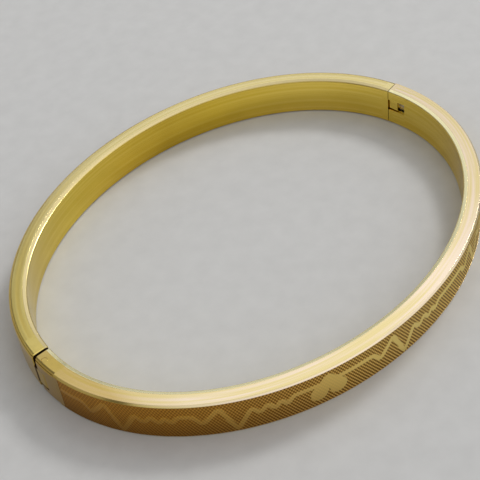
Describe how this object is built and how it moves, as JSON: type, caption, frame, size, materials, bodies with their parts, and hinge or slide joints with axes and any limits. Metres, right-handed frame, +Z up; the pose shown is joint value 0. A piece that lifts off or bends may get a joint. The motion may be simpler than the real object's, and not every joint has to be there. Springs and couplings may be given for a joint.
{
  "type": "hinged oval bangle bracelet",
  "caption": "Gold-tone hinged oval bangle with an etched heartbeat-line front half, a plain rear half, a pinned knuckle hinge and a push-in box clasp.",
  "frame": {"origin": "under the middle of the oval, on the plane the bangle lies on", "axes": "+X along the oval's long axis, from the hinge towards the clasp; +Y towards the plain rear half; +Z up through the wrist opening"},
  "size_m": [0.0624, 0.05, 0.0051],
  "materials": {
    "polished_gold": "mirror-polished gold plating",
    "satin_gold": "finely brushed gold plating",
    "etched_gold": "laser-etched hatch, matt brown and gold",
    "spring_steel": "bare spring steel"
  },
  "bodies": {
    "front_half": {"front_shell": "polished_gold", "front_liner": "satin_gold", "front_hinge_block": "polished_gold", "hinge_pin": "polished_gold", "clasp_faceplate": "polished_gold"},
    "rear_half": {"rear_shell": "satin_gold", "rear_liner": "satin_gold", "rear_hinge_block": "satin_gold", "rear_end_cap": "satin_gold", "tongue_plate": "spring_steel", "catch_leaf": "spring_steel"},
    "release_tab": {"release_tab": "polished_gold"}
  },
  "joints": [
    {"name": "hinge_open", "type": "hinge", "parent": "front_half", "child": "rear_half", "pos_m": [-0.03032, 0.00172, 0], "axis": [0, 0, 1], "range_deg": [0, 60]},
    {"name": "tab_press", "type": "slide", "parent": "rear_half", "child": "release_tab", "axis": [1, 0.0088, 0], "range_m": [0, 0.00025], "stiffness_N_per_m": 1000, "deforming": ["catch_leaf"]}
  ]
}
